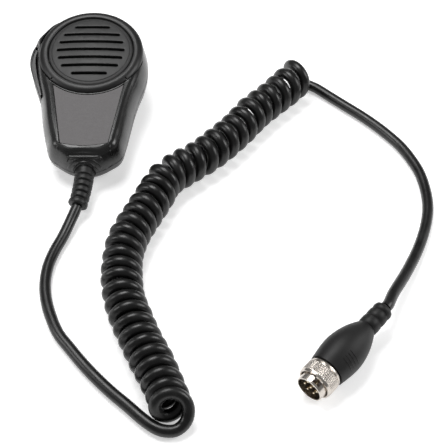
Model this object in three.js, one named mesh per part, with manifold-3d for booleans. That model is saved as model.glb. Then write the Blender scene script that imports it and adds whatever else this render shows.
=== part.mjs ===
// Hand microphone with a curly cord and a seven-pin plug, lying on its back on a table.
// Millimetres, +Z up, +Y along the microphone's long axis towards its head.
// The origin is under the middle of the microphone's body, on the table.
import * as THREE from 'three';
import { mergeVertices } from 'three/addons/utils/BufferGeometryUtils.js';
import Module from 'manifold-3d';

const wasm = await Module();
wasm.setup();

// ---------------------------------------------------------------- driving dimensions
const GAP = 0.3;
const HALF_TURN = Math.PI;

// How the microphone lies: its face is tilted, because the hang-up button lifts the head.
const FACE_TILT = THREE.MathUtils.degToRad(10.2);
const GRILLE_CENTRE = new THREE.Vector3(1.4, 17.6, 34.86);

// Case. Heights are measured from the face plane, along the face's normal.
const PARTING = -12.5;
const TOP_OF_CASE = -1.0;
const WALL = 2.0;
const REAR_DEPTH = -29.8;
const REAR_SLOPE = 0.0875;
const OUTLINE_STEPS = 52;
const END_HALF_WIDTH = 11.5;
const END_START = -50;
const BOSS_RADIUS = 3.0;
const PILOT_RADIUS = 1.65;
const SCREW_COUNTERBORE = { radius: 3.2, depth: 6 };
const TUNNEL = { radius: 5.4, outside: -76, inside: -60 };

// Round head.
const SEAT_RADIUS = 27.5;
const SEAT_FLOOR = -4.0;
const SEAT_OPENING = 20.5;
const LABEL = { margin: 0.35, floor: -2.0, bottom: -1.7, top: -1.2 };
const BEZEL_RADIUS = 27.2;
const BEZEL_BORE = 22.2;
const GRILLE_RADIUS = 21.9;
const SLOT_PITCH = 5.1;
const SLOT_WIDTH = 1.7;
const SLOT_HALF_LENGTHS = [9.3, 14.8, 16.8, 17.8, 16.8, 14.8, 9.3];

// Press-to-talk bar on the left flank.
const PTT_TOP = -5.4;
const PTT_BOTTOM = -17.2;
const PTT_PIVOT = new THREE.Vector2(-27.2, 6.2);
const PIN_RADIUS = 1.0;
const SPRING_FLOOR = -9.6;
const SPRING_RADIUS = 1.75;
const SPRING_WIRE = 0.6;
const SPRING_TURNS = 3;

// Microswitch.
const SWITCH_MIDDLE = new THREE.Vector3(-17.05, -17.0, -11.7);
const SWITCH_SIZE = new THREE.Vector3(6.5, 12.8, 5.8);

// Cord and coil.
const CORD_DIAMETER = 5.5;
const CORD_SIDES = 8;
const COIL_DIAMETER = 19.6;
const COIL_SIDES = 12;

// Plug. Stations run along its axis from the end of its boot towards its mating face.
const PLUG_LENGTH = 54.0;
const PLUG_START = new THREE.Vector3(142.7, -132.4, 11.45);
const PLUG_HEADING = new THREE.Vector3(-0.661, -0.748, -0.057);
const RING_START = 42.2;
const RING_END = 50.6;
const RING_RADIUS = 8.3;
const BARREL_RADIUS = 6.5;
const PIN_CIRCLE = 3.3;

// ---------------------------------------------------------------- materials
function finish(color, roughness, metalness = 0) {
  return new THREE.MeshStandardMaterial({ color, roughness, metalness });
}

const satinBlack = finish(0x1b1b1c, 0.42);
const glossBlack = finish(0x141414, 0.22);
const matteGrey = finish(0x6f6c6d, 0.75);
const rubberBlack = finish(0x161616, 0.7);
const cordBlack = finish(0x111112, 0.35);
const paleRubber = finish(0x9a9890, 0.8);
const nickel = finish(0xc9c2bc, 0.25, 1.0);
const steel = finish(0xb9bbbd, 0.3, 1.0);
const gold = finish(0xd9b36a, 0.25, 1.0);
const boardGreen = finish(0x23553a, 0.6);
const phenolic = finish(0x2a1a12, 0.5);
const sleeveBlack = finish(0x0d0d0d, 0.8);

// ---------------------------------------------------------------- solids
function signedVolume(geometry) {
  const position = geometry.attributes.position;
  const index = geometry.index.array;
  const a = new THREE.Vector3();
  const b = new THREE.Vector3();
  const c = new THREE.Vector3();
  let volume = 0;
  for (let i = 0; i < index.length; i += 3) {
    a.fromBufferAttribute(position, index[i]);
    b.fromBufferAttribute(position, index[i + 1]);
    c.fromBufferAttribute(position, index[i + 2]);
    volume += a.dot(b.cross(c)) / 6;
  }
  return volume;
}

// Merges the shared corners, drops flat triangles and turns the faces outwards.
function closed(geometry) {
  const bare = geometry.clone();
  bare.deleteAttribute('normal');
  bare.deleteAttribute('uv');
  const merged = mergeVertices(bare, 1e-4);
  const kept = [];
  const index = merged.index.array;
  for (let i = 0; i < index.length; i += 3) {
    const [a, b, c] = [index[i], index[i + 1], index[i + 2]];
    if (a !== b && b !== c && a !== c) {
      kept.push(a, b, c);
    }
  }
  merged.setIndex(kept);
  if (signedVolume(merged) < 0) {
    for (let i = 0; i < kept.length; i += 3) {
      [kept[i], kept[i + 1]] = [kept[i + 1], kept[i]];
    }
    merged.setIndex(kept);
  }
  return merged;
}

function toManifold(geometry) {
  const ready = closed(geometry);
  return new wasm.Manifold(new wasm.Mesh({
    numProp: 3,
    vertProperties: new Float32Array(ready.attributes.position.array),
    triVerts: new Uint32Array(ready.index.array),
  }));
}

function toGeometry(manifold) {
  const mesh = manifold.getMesh();
  const geometry = new THREE.BufferGeometry();
  geometry.setAttribute('position', new THREE.BufferAttribute(mesh.vertProperties, 3));
  geometry.setIndex(Array.from(mesh.triVerts));
  return geometry;
}

function join(geometry, ...others) {
  const parts = others.map(toManifold);
  return toGeometry(parts.reduce((sum, part) => sum.add(part), toManifold(geometry)));
}

function cut(geometry, ...tools) {
  const parts = tools.map(toManifold);
  return toGeometry(parts.reduce((rest, part) => rest.subtract(part), toManifold(geometry)));
}

function box(x0, x1, y0, y1, z0, z1) {
  const geometry = new THREE.BoxGeometry(x1 - x0, y1 - y0, z1 - z0);
  return geometry.translate((x0 + x1) / 2, (y0 + y1) / 2, (z0 + z1) / 2);
}

function boxAt(centre, size) {
  const geometry = new THREE.BoxGeometry(size.x, size.y, size.z);
  return geometry.translate(centre.x, centre.y, centre.z);
}

// An upright cylinder from z0 to z1.
function post(radius, x, y, z0, z1, sides = 18) {
  const geometry = new THREE.CylinderGeometry(radius, radius, z1 - z0, sides);
  geometry.rotateX(HALF_TURN / 2);
  return geometry.translate(x, y, (z0 + z1) / 2);
}

// A turned piece: the profile's pairs are radius and height, about the Z axis.
function turned(profile, sides = 32) {
  const points = profile.map(([radius, height]) => new THREE.Vector2(radius, height));
  const geometry = new THREE.LatheGeometry(points, sides);
  return closed(geometry.rotateX(HALF_TURN / 2));
}

function extruded(shape, z0, z1, curveSegments = 8) {
  const settings = { depth: z1 - z0, bevelEnabled: false, curveSegments };
  return new THREE.ExtrudeGeometry(shape, settings).translate(0, 0, z0);
}

// A skin over a stack of rings that all have the same number of corners.
function lofted(rings) {
  const corners = rings[0].length;
  const positions = [];
  const index = [];
  rings.forEach((ring) => ring.forEach((corner) => positions.push(corner.x, corner.y, corner.z)));
  for (let level = 0; level + 1 < rings.length; level += 1) {
    for (let i = 0; i < corners; i += 1) {
      const next = (i + 1) % corners;
      const low = level * corners;
      const high = low + corners;
      index.push(low + i, low + next, high + next);
      index.push(low + i, high + next, high + i);
    }
  }
  const flat = rings[0].map((corner) => new THREE.Vector2(corner.x, corner.y));
  const last = (rings.length - 1) * corners;
  for (const [a, b, c] of THREE.ShapeUtils.triangulateShape(flat, [])) {
    index.push(c, b, a);
    index.push(last + a, last + b, last + c);
  }
  const geometry = new THREE.BufferGeometry();
  geometry.setAttribute('position', new THREE.Float32BufferAttribute(positions, 3));
  geometry.setIndex(index);
  return closed(geometry);
}

// ---------------------------------------------------------------- scene graph
const microphone = new THREE.Group();
microphone.position.copy(GRILLE_CENTRE);
microphone.rotation.x = FACE_TILT;

function add(group, name, geometry, material) {
  const mesh = new THREE.Mesh(closed(geometry), material);
  mesh.name = name;
  group.add(mesh);
  return mesh;
}

// ---------------------------------------------------------------- case outline
// The outline at the parting line. The left side is fuller at the head, round the talk bar.
const CASE_RIGHT = [
  [0, 28.2], [10, 27.0], [19.0, 22.0], [25.0, 14.5], [28.3, 5], [29.4, -5], [28.1, -14.5],
  [25.4, -24], [23.6, -32], [21.9, -42], [20.2, -52], [18.0, -60.0], [13.2, -64.2], [7.5, -67.6],
];
const CASE_LEFT = [
  [0, -69.2], [-7.5, -67.6], [-13.2, -64.2], [-18.1, -60.0], [-20.6, -52], [-22.9, -42],
  [-25.2, -28], [-28.2, -16], [-30.0, -6], [-30.7, 4], [-31.2, 10.0], [-27.6, 16.4],
  [-22.6, 22.2], [-12, 27.0],
];

function caseOutline() {
  const points = [...CASE_RIGHT, ...CASE_LEFT].map(([x, y]) => new THREE.Vector3(x, y, 0));
  const curve = new THREE.CatmullRomCurve3(points.reverse(), true, 'centripetal');
  return curve.getSpacedPoints(OUTLINE_STEPS).slice(0, OUTLINE_STEPS);
}

const outline = caseOutline();

// The outline moved inwards by a distance, at a height that may vary along the case.
function outlineRing(inset, heightAt) {
  const count = outline.length;
  return outline.map((point, i) => {
    const before = outline[(i + count - 1) % count];
    const after = outline[(i + 1) % count];
    const along = new THREE.Vector3().subVectors(after, before).normalize();
    const x = point.x - along.y * inset;
    const y = point.y + along.x * inset;
    return new THREE.Vector3(x, y, heightAt(y));
  });
}

function rearHeight(y) {
  return REAR_DEPTH - REAR_SLOPE * y;
}

// ---------------------------------------------------------------- front case
const CASE_SCREWS = [[-17.5, 13.5], [17.5, 13.5], [-11.6, -52], [11.6, -52]];
const CORD_HEIGHT = PARTING - GAP / 2;

function flatRing(inset, height) {
  return outlineRing(inset, () => height);
}

// The recess under the label follows the bezel's arc at its top and bows at its bottom.
function labelShape(margin) {
  const arcRadius = 28.2 - margin;
  const topHalf = 18.0 + margin;
  const bottomHalf = 11.9 + margin;
  const bottom = -57.8 - margin;
  const sideAngle = Math.asin(topHalf / arcRadius);
  const shape = new THREE.Shape();
  shape.moveTo(-bottomHalf, bottom);
  shape.quadraticCurveTo(0, bottom - 3.4, bottomHalf, bottom);
  shape.lineTo(topHalf, -arcRadius * Math.cos(sideAngle));
  shape.absarc(0, 0, arcRadius, sideAngle - HALF_TURN / 2, -sideAngle - HALF_TURN / 2, true);
  shape.closePath();
  return shape;
}

// The upper edge of the lower end is nearly straight, so its middle is drawn in.
function frontRing(inset, height, drawnIn) {
  return flatRing(inset, height).map((point) => {
    if (point.y > END_START || Math.abs(point.x) > END_HALF_WIDTH) {
      return point;
    }
    const share = Math.cos((HALF_TURN / 2) * (point.x / END_HALF_WIDTH)) ** 2;
    return point.setY(point.y + drawnIn * share);
  });
}

function frontCase() {
  const shell = lofted([
    frontRing(0, PARTING, 0), frontRing(0.6, -9, 0.64), frontRing(1.7, -5.5, 1.81),
    frontRing(3.0, -3.0, 3.2), frontRing(4.4, -1.6, 2.78), frontRing(6.0, TOP_OF_CASE, 2.3),
  ]);
  const mainHollow = lofted([flatRing(WALL, PARTING - 1), flatRing(WALL + 2.6, -6)]);
  const lowerHollow = lofted([flatRing(WALL + 2.8, -6.1), flatRing(WALL + 4.6, -3.8)]);
  const lowerOnly = cut(lowerHollow, post(SEAT_RADIUS + 2, 0, 0, -8, -1, 40));
  let shape = cut(
    shell, mainHollow, lowerOnly,
    post(SEAT_RADIUS, 0, 0, SEAT_FLOOR, 2, 48),
    post(SEAT_OPENING, 0, 0, -8, -2, 40),
    extruded(labelShape(LABEL.margin), LABEL.floor, 1),
  );
  const bosses = CASE_SCREWS.map(([x, y]) => post(BOSS_RADIUS, x, y, PARTING, y > 0 ? -5.5 : -3.5));
  const pinBoss = post(2.2, PTT_PIVOT.x, PTT_PIVOT.y, PTT_TOP + GAP, -4.2, 14);
  shape = join(shape, ...bosses, pinBoss);
  const pilots = CASE_SCREWS.map(([x, y]) => post(PILOT_RADIUS, x, y, PARTING - 1, -6.6, 12));
  return cut(shape, ...pilots, talkSlot(), cordTunnel());
}

function talkSlot() {
  return box(-38, -21.9, -26.5, 8.8, PTT_BOTTOM - 0.4, PTT_TOP + 0.4);
}

function cordTunnel() {
  const length = TUNNEL.inside - TUNNEL.outside;
  const tunnel = new THREE.CylinderGeometry(TUNNEL.radius, TUNNEL.radius, length, 20);
  return tunnel.translate(0, (TUNNEL.outside + TUNNEL.inside) / 2, CORD_HEIGHT);
}

// ---------------------------------------------------------------- rear case
const BUTTON_Y = -3.0;
const BOARD_POSTS = [[9, -14], [-8, -36]];
const BOARD_TOP = -14.9;
const BOARD_THICKNESS = 1.6;
const CLAMP_SCREW = [6.4, -45.8];
const SHAFT_RADIUS = 1.7;
const BELOW_CASE = -36;

function rearCase() {
  const start = PARTING - GAP;
  const depthRing = (inset, share) => outlineRing(inset, (y) => start + (rearHeight(y) - start) * share);
  const shell = lofted([
    depthRing(0, 0), depthRing(0.5, 0.28), depthRing(1.3, 0.46), depthRing(2.8, 0.65),
    depthRing(5.3, 0.86), depthRing(8.4, 1),
  ]);
  const hollow = lofted([
    outlineRing(WALL, () => start + 1), depthRing(WALL + 1.4, 0.46), depthRing(WALL + 5.6, 0.84),
  ]);
  let shape = cut(shell, hollow);
  const posts = CASE_SCREWS.map(([x, y]) => post(3.5, x, y, rearHeight(y) + 2.2, start));
  const boardPosts = BOARD_POSTS.map(([x, y]) => {
    return post(2.5, x, y, rearHeight(y) + 1.5, BOARD_TOP - BOARD_THICKNESS - GAP, 14);
  });
  const [clampX, clampY] = CLAMP_SCREW;
  const clampPost = post(2.6, clampX, clampY, rearHeight(clampY) + 1, CORD_HEIGHT + 2.4, 14);
  const pinBoss = post(2.4, PTT_PIVOT.x, PTT_PIVOT.y, -22, PTT_BOTTOM - GAP, 14);
  shape = join(shape, ...posts, ...boardPosts, clampPost, pinBoss);
  const shafts = CASE_SCREWS.map(([x, y]) => post(SHAFT_RADIUS, x, y, BELOW_CASE, start + 1, 12));
  const counterbores = CASE_SCREWS.map(([x, y]) => {
    return post(SCREW_COUNTERBORE.radius, x, y, BELOW_CASE, rearHeight(y) + SCREW_COUNTERBORE.depth);
  });
  const boardPilots = BOARD_POSTS.map(([x, y]) => post(1.3, x, y, -22.5, -16, 10));
  const pinHole = post(PIN_RADIUS + GAP, PTT_PIVOT.x, PTT_PIVOT.y, -20, -17, 12);
  return cut(
    shape, ...shafts, ...counterbores, ...boardPilots, pinHole,
    post(1.3, clampX, clampY, -21, -9, 10),
    post(1.9, 0, BUTTON_Y, BELOW_CASE, -20, 14),
    talkSlot(),
    cordTunnel(),
  );
}

// ---------------------------------------------------------------- bezel, grille and label
function bezel() {
  return turned([
    [BEZEL_BORE, SEAT_FLOOR + GAP], [BEZEL_RADIUS - 0.5, SEAT_FLOOR + GAP], [BEZEL_RADIUS, -3.2],
    [BEZEL_RADIUS, -2.2], [BEZEL_RADIUS - 0.6, -1.1], [BEZEL_RADIUS - 1.8, -0.2],
    [BEZEL_RADIUS - 3.2, 0.2], [BEZEL_BORE + 0.6, 0.1], [BEZEL_BORE, -0.4],
    [BEZEL_BORE, SEAT_FLOOR + GAP],
  ], 48);
}

function slotShape(halfLength) {
  const end = SLOT_WIDTH / 2;
  const shape = new THREE.Shape();
  shape.moveTo(-halfLength + end, -end);
  shape.lineTo(halfLength - end, -end);
  shape.absarc(halfLength - end, 0, end, -HALF_TURN / 2, HALF_TURN / 2, false);
  shape.lineTo(-halfLength + end, end);
  shape.absarc(-halfLength + end, 0, end, HALF_TURN / 2, HALF_TURN * 1.5, false);
  return shape;
}

function grille() {
  const dome = turned([
    [0, -1.2], [9, -1.5], [17, -2.2], [20, SEAT_FLOOR + GAP], [GRILLE_RADIUS, SEAT_FLOOR + GAP],
    [GRILLE_RADIUS, -0.7], [20.6, -0.3], [15, 0.35], [8, 0.85], [0, 1.05],
  ], 36);
  const middle = (SLOT_HALF_LENGTHS.length - 1) / 2;
  const slots = SLOT_HALF_LENGTHS.map((halfLength, i) => {
    return extruded(slotShape(halfLength), -6, 3, 3).translate(0, (middle - i) * SLOT_PITCH, 0);
  });
  return cut(dome, ...slots);
}

function addHead() {
  add(microphone, 'front_case', frontCase(), satinBlack);
  add(microphone, 'rear_case', rearCase(), satinBlack);
  add(microphone, 'grille_bezel', bezel(), satinBlack);
  add(microphone, 'grille', grille(), satinBlack);
  add(microphone, 'label_plate', extruded(labelShape(0), LABEL.bottom, LABEL.top), matteGrey);
}

// ---------------------------------------------------------------- capsule and board
const CAPSULE_BOOT = { bore: 5.3, outer: 8.2, back: -13.6, front: -4.8 };
const CAPSULE_CLEARANCE = 0.35;

function addElectronics() {
  const { bore, outer, back, front } = CAPSULE_BOOT;
  const boot = turned([[bore, back], [outer, back], [outer, front], [bore, front], [bore, back]], 28);
  add(microphone, 'capsule_boot', boot, paleRubber);
  const capsule = post(bore - CAPSULE_CLEARANCE, 0, 0, back + 1.2, front - 0.5, 24);
  add(microphone, 'mic_capsule', capsule, steel);

  const outlinePoints = [[-20.8, -9.8], [-20.8, -27], [-16, -40], [14, -40], [17, -9.8]];
  const boardShape = new THREE.Shape(outlinePoints.map(([x, y]) => new THREE.Vector2(x, y)));
  const boardBottom = BOARD_TOP - BOARD_THICKNESS;
  const holes = BOARD_POSTS.map(([x, y]) => post(1.4, x, y, -18, -13, 10));
  add(microphone, 'circuit_board', cut(extruded(boardShape, boardBottom, BOARD_TOP), ...holes), boardGreen);
  BOARD_POSTS.forEach(([x, y], i) => {
    const seat = BOARD_TOP + GAP;
    const screw = turned([
      [0, seat - 5.4], [1.0, seat - 5.4], [1.0, seat], [1.9, seat], [1.9, seat + 1.0], [0, seat + 1.3],
    ], 14).translate(x, y, 0);
    add(microphone, `board_screw_${i + 1}`, screw, steel);
  });
  add(microphone, 'board_capacitor', post(2.5, 4, -25, BOARD_TOP + GAP, -8.5, 18), sleeveBlack);
  add(microphone, 'cord_terminal', box(-6, 6, -39, -34.5, BOARD_TOP + GAP, -9.5), paleRubber);
}

// ---------------------------------------------------------------- talk bar and microswitch
function talkBar() {
  const shape = new THREE.Shape();
  shape.moveTo(-27.4, 8.3);
  shape.lineTo(-28.8, 8.3);
  shape.splineThru([[-30.5, 6.2], [-31.8, 1.5], [-32.1, -4], [-30.9, -10], [-28.9, -16], [-25.6, -25.2]]
    .map(([x, y]) => new THREE.Vector2(x, y)));
  shape.lineTo(-24.6, -26.0);
  shape.lineTo(-24.2, -24.6);
  shape.splineThru([[-26.0, -18], [-28.2, -9], [-29.2, 0], [-27.4, 8.3]]
    .map(([x, y]) => new THREE.Vector2(x, y)));
  const bar = extruded(shape, PTT_BOTTOM, PTT_TOP, 3);
  const eye = post(2.1, PTT_PIVOT.x, PTT_PIVOT.y, PTT_BOTTOM, SPRING_FLOOR - GAP, 16);
  const finger = box(-27.5, -22.4, -18, -16, -13, -10.4);
  const hole = post(PIN_RADIUS + GAP, PTT_PIVOT.x, PTT_PIVOT.y, -20, -3, 12);
  const springRoom = post(2.7, PTT_PIVOT.x, PTT_PIVOT.y, SPRING_FLOOR - GAP, -3, 16);
  return cut(join(bar, eye, finger), hole, springRoom);
}

// A torsion spring round the pin: one leg lies along the bar, the other along the case.
function talkBarSpring() {
  const points = [new THREE.Vector3(SPRING_RADIUS, -7, 0)];
  const stepsPerTurn = 10;
  const steps = SPRING_TURNS * stepsPerTurn;
  const pitch = SPRING_WIRE + 0.25;
  for (let i = 0; i <= steps; i += 1) {
    const angle = (2 * HALF_TURN * i) / stepsPerTurn;
    const height = (pitch * i) / stepsPerTurn;
    points.push(new THREE.Vector3(
      SPRING_RADIUS * Math.cos(angle),
      SPRING_RADIUS * Math.sin(angle),
      height,
    ));
  }
  points.push(new THREE.Vector3(SPRING_RADIUS + 0.6, 4, SPRING_TURNS * pitch));
  const curve = new THREE.CatmullRomCurve3(points);
  const settings = { steps: steps + 8, bevelEnabled: false, extrudePath: curve };
  const wire = new THREE.ExtrudeGeometry(roundSection(SPRING_WIRE, 6), settings);
  return wire.translate(PTT_PIVOT.x, PTT_PIVOT.y, SPRING_FLOOR + SPRING_WIRE / 2);
}

function addTalkBar() {
  add(microphone, 'talk_bar', talkBar(), satinBlack);
  const pin = post(PIN_RADIUS, PTT_PIVOT.x, PTT_PIVOT.y, -19.6, PTT_TOP, 12);
  add(microphone, 'talk_bar_pin', pin, steel);
  add(microphone, 'talk_bar_spring', talkBarSpring(), steel);
  const pocket = new THREE.Vector3(-18.7, SWITCH_MIDDLE.y, SWITCH_MIDDLE.z);
  const body = cut(
    boxAt(SWITCH_MIDDLE, SWITCH_SIZE),
    boxAt(pocket, new THREE.Vector3(3.4, 2.4, 3.0)),
  );
  add(microphone, 'microswitch', body, glossBlack);
  const plunger = box(-22.1, -18.9, SWITCH_MIDDLE.y - 0.9, SWITCH_MIDDLE.y + 0.9,
    SWITCH_MIDDLE.z - 1.2, SWITCH_MIDDLE.z + 1.2);
  add(microphone, 'switch_plunger', plunger, paleRubber);
}

// ---------------------------------------------------------------- fastenings of the case
function addFastenings() {
  CASE_SCREWS.forEach(([x, y], i) => {
    const seat = rearHeight(y) + SCREW_COUNTERBORE.depth - GAP;
    const screw = turned([
      [0, seat - 1.9], [2.1, seat - 1.9], [2.8, seat - 1.2], [2.8, seat], [1.35, seat],
      [1.35, -7.4], [0, -7.0],
    ], 16).translate(x, y, 0);
    add(microphone, `case_screw_${i + 1}`, screw, steel);
  });

  // The button's parts are turned about the normal of the sloping rear face.
  const rear = new THREE.Group();
  rear.position.set(0, BUTTON_Y, rearHeight(BUTTON_Y));
  rear.rotation.x = -Math.atan(REAR_SLOPE);
  microphone.add(rear);
  const button = turned([
    [1.9, -GAP], [4.8, -GAP], [4.6, -2.6], [7.2, -2.8], [7.6, -3.2], [7.6, -4.2], [7.2, -4.62],
    [3.4, -4.62], [3.3, -2.9], [1.9, -2.7], [1.9, -GAP],
  ], 28);
  add(rear, 'hang_button', button, nickel);
  const screw = turned([
    [0, -4.6], [2.5, -4.5], [3.0, -4.1], [3.0, -3.3], [1.5, -3.3], [1.5, 7.6], [0, 7.8],
  ], 18);
  add(rear, 'hang_button_screw', screw, steel);
  const nut = cut(post(3.1, 0, 0, 3.2, 5.6, 6), post(1.8, 0, 0, 2, 7, 12));
  add(rear, 'hang_button_nut', nut, steel);
}

// ---------------------------------------------------------------- cord entry
// A round skin along a curve: each station gives how far along it is and its radius.
function ringSweep(curve, stations, sides) {
  const frames = curve.computeFrenetFrames(60, false);
  const positions = [];
  const index = [];
  stations.forEach(([share, radius]) => {
    const middle = curve.getPointAt(share);
    const frame = Math.round(share * 60);
    for (let i = 0; i < sides; i += 1) {
      const angle = (2 * HALF_TURN * i) / sides;
      const corner = middle.clone();
      corner.addScaledVector(frames.normals[frame], radius * Math.cos(angle));
      corner.addScaledVector(frames.binormals[frame], radius * Math.sin(angle));
      positions.push(corner.x, corner.y, corner.z);
    }
  });
  for (let level = 0; level + 1 < stations.length; level += 1) {
    for (let i = 0; i < sides; i += 1) {
      const next = (i + 1) % sides;
      const low = level * sides;
      index.push(low + i, low + next, low + sides + next);
      index.push(low + i, low + sides + next, low + sides + i);
    }
  }
  const last = (stations.length - 1) * sides;
  for (let i = 1; i + 1 < sides; i += 1) {
    index.push(0, i + 1, i);
    index.push(last, last + i, last + i + 1);
  }
  const geometry = new THREE.BufferGeometry();
  geometry.setAttribute('position', new THREE.Float32BufferAttribute(positions, 3));
  geometry.setIndex(index);
  return closed(geometry);
}

const RELIEF_START = new THREE.Vector3(0, -62.6, CORD_HEIGHT);
const RELIEF_END = new THREE.Vector3(-2.6, -87.2, CORD_HEIGHT - 0.6);

function reliefCurve() {
  const straight = new THREE.Vector3(0, -78, CORD_HEIGHT);
  return new THREE.QuadraticBezierCurve3(RELIEF_START, straight, RELIEF_END);
}

function strainRelief() {
  const stations = [[0, 6.4], [0.07, 6.4], [0.075, 5.05], [0.26, 5.05]];
  const ribs = 5;
  for (let rib = 0; rib < ribs; rib += 1) {
    const start = 0.28 + rib * 0.125;
    stations.push([start, 5.2 - rib * 0.06], [start + 0.07, 5.2 - rib * 0.06]);
    stations.push([start + 0.09, 4.5 - rib * 0.06], [start + 0.11, 4.5 - rib * 0.06]);
  }
  stations.push([0.92, 4.9], [0.985, 4.8], [1.0, 4.2]);
  return ringSweep(reliefCurve(), stations, 14);
}

function addCordEntry() {
  add(microphone, 'strain_relief', strainRelief(), rubberBlack);
  const leadLength = 20.0;
  const lead = new THREE.CylinderGeometry(CORD_DIAMETER / 2, CORD_DIAMETER / 2, leadLength, 16);
  lead.translate(0, RELIEF_START.y + GAP + leadLength / 2, CORD_HEIGHT);
  add(microphone, 'inner_lead', lead, cordBlack);
  const over = CORD_HEIGHT + CORD_DIAMETER / 2 + GAP;
  const plate = cut(
    box(-4.6, 9.0, -47.8, -43.8, over, over + 1.8),
    post(1.4, CLAMP_SCREW[0], CLAMP_SCREW[1], -12, -5, 10),
  );
  add(microphone, 'cord_clamp', plate, steel);
  const seat = over + 1.8 + GAP;
  const screw = turned([
    [0, seat - 9], [1.0, seat - 9], [1.0, seat], [2.0, seat], [2.0, seat + 1.0], [0, seat + 1.4],
  ], 14).translate(CLAMP_SCREW[0], CLAMP_SCREW[1], 0);
  add(microphone, 'clamp_screw', screw, steel);
}

// ---------------------------------------------------------------- cord
const model = new THREE.Group();
model.add(microphone);

// Middle line of each stretch, on the table unless it comes down from a fitting.
const TAIL_FROM_MICROPHONE = [
  [-1.4, -66.5, 6.5], [-3.8, -73.5, 4.9], [-6.8, -82.5, 3.3], [-10.0, -91.3, 2.8], [-12.2, -100.7, 2.8],
  [-12.6, -110.6, 2.8], [-11.3, -119.7, 2.8], [-8.6, -128.6, 2.8], [-3.8, -139.5, 2.8],
  [2.3, -147.8, 2.8], [9.6, -157.1, 2.8], [16.2, -164.5, 2.8], [22.7, -171.1, 2.8],
  [29.4, -177.2, 2.8], [36.0, -183.5, 2.8], [42.1, -188.5, 2.9], [48.1, -191.2, 3.2],
];
const COIL_MIDDLE = [
  [49.2, -183.4], [48.2, -179.0], [42.2, -165.1], [35.8, -151.7], [30.3, -138.8], [25.5, -125.0],
  [23.6, -110.6], [24.0, -96.9], [26.6, -86.4], [31.4, -75.1], [36.8, -63.0], [41.6, -51.5],
  [50.4, -43.3], [60.7, -34.9], [69.8, -25.4], [78.8, -14.2], [86.6, -2.9], [95.4, 6.7],
  [104.1, 16.4], [112.0, 26.2],
];
const TAIL_TO_PLUG = [
  [118.3, 26.0, 2.8], [121.0, 24.0, 2.8], [127.7, 17.6, 2.8], [135.5, 10.1, 2.8], [143.0, 3.0, 2.8],
  [150.3, -4.7, 2.8], [157.2, -13.2, 2.8], [162.6, -21.1, 2.8], [166.9, -30.1, 2.8],
  [170.2, -39.7, 2.8], [171.8, -50.8, 2.8], [171.8, -62.3, 2.8], [170.2, -71.7, 2.8],
  [167.4, -81.1, 2.8], [163.6, -90.9, 3.2], [158.8, -101.3, 4.5], [153.4, -112.0, 6.8],
  [148.0, -122.0, 9.2], [144.6, -129.9, 11.1], [143.2, -131.8, 11.4],
];

function roundSection(diameter, sides) {
  const corners = [];
  for (let i = 0; i < sides; i += 1) {
    const angle = (2 * HALF_TURN * (i + 0.5)) / sides;
    const radius = diameter / 2;
    corners.push(new THREE.Vector2(radius * Math.cos(angle), radius * Math.sin(angle)));
  }
  return new THREE.Shape(corners);
}

function along(points, diameter, sides, steps) {
  const curve = new THREE.CatmullRomCurve3(points.map((point) => new THREE.Vector3(...point)));
  const settings = { steps, bevelEnabled: false, extrudePath: curve };
  return new THREE.ExtrudeGeometry(roundSection(diameter, sides), settings);
}

function addCord() {
  const coilMiddle = COIL_MIDDLE.map(([x, y]) => [x, y, COIL_DIAMETER / 2]);
  add(model, 'cord_tail_mic', along(TAIL_FROM_MICROPHONE, CORD_DIAMETER, CORD_SIDES, 16), cordBlack);
  add(model, 'cord_coil', along(coilMiddle, COIL_DIAMETER, COIL_SIDES, 20), cordBlack);
  add(model, 'cord_tail_plug', along(TAIL_TO_PLUG, CORD_DIAMETER, CORD_SIDES, 16), cordBlack);
}

// ---------------------------------------------------------------- plug
// The plug's own Z axis points out of its mating face; its X axis is kept level.
function plugGroup() {
  const group = new THREE.Group();
  const ahead = PLUG_HEADING.clone().normalize();
  const level = new THREE.Vector3(0, 0, 1).cross(ahead).normalize();
  const upwards = new THREE.Vector3().crossVectors(ahead, level);
  group.setRotationFromMatrix(new THREE.Matrix4().makeBasis(level, upwards, ahead));
  group.position.copy(PLUG_START);
  return group;
}

function plugBoot() {
  return turned([
    [0, 0], [3.5, 0], [4.3, 0.6], [4.6, 1.8], [4.5, 3.0], [4.0, 3.6], [4.1, 4.0], [4.6, 4.5],
    [4.6, 7.7], [4.1, 8.3], [4.2, 8.7], [4.7, 9.2], [4.7, 12.8], [4.2, 13.4], [4.8, 14.2],
    [6.2, 17.0], [7.6, 20.4], [8.8, 24.6], [9.5, 29.0], [9.6, 32.0], [9.3, 36.0], [8.7, 40.0],
    [8.4, RING_START - GAP], [0, RING_START - GAP],
  ], 24);
}

function couplingRing() {
  return turned([
    [6.9, RING_START], [7.9, RING_START], [7.9, RING_START + 1.3], [7.6, RING_START + 1.5],
    [7.6, RING_START + 1.8], [RING_RADIUS, RING_START + 2], [RING_RADIUS, RING_END - 0.8],
    [7.9, RING_END], [7.3, RING_END], [6.9, RING_END - 0.6], [6.9, RING_START],
  ], 32);
}

function plugShell() {
  const bore = 5.85;
  const shell = turned([
    [bore, RING_START], [BARREL_RADIUS, RING_START], [BARREL_RADIUS, PLUG_LENGTH - 0.3],
    [BARREL_RADIUS - 0.25, PLUG_LENGTH], [bore, PLUG_LENGTH], [bore, RING_START],
  ], 32);
  const keyway = box(-1.9, 1.9, 4.8, 8, RING_END - 0.4, PLUG_LENGTH - 0.9);
  keyway.rotateZ(THREE.MathUtils.degToRad(-24));
  return cut(shell, keyway);
}

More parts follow.
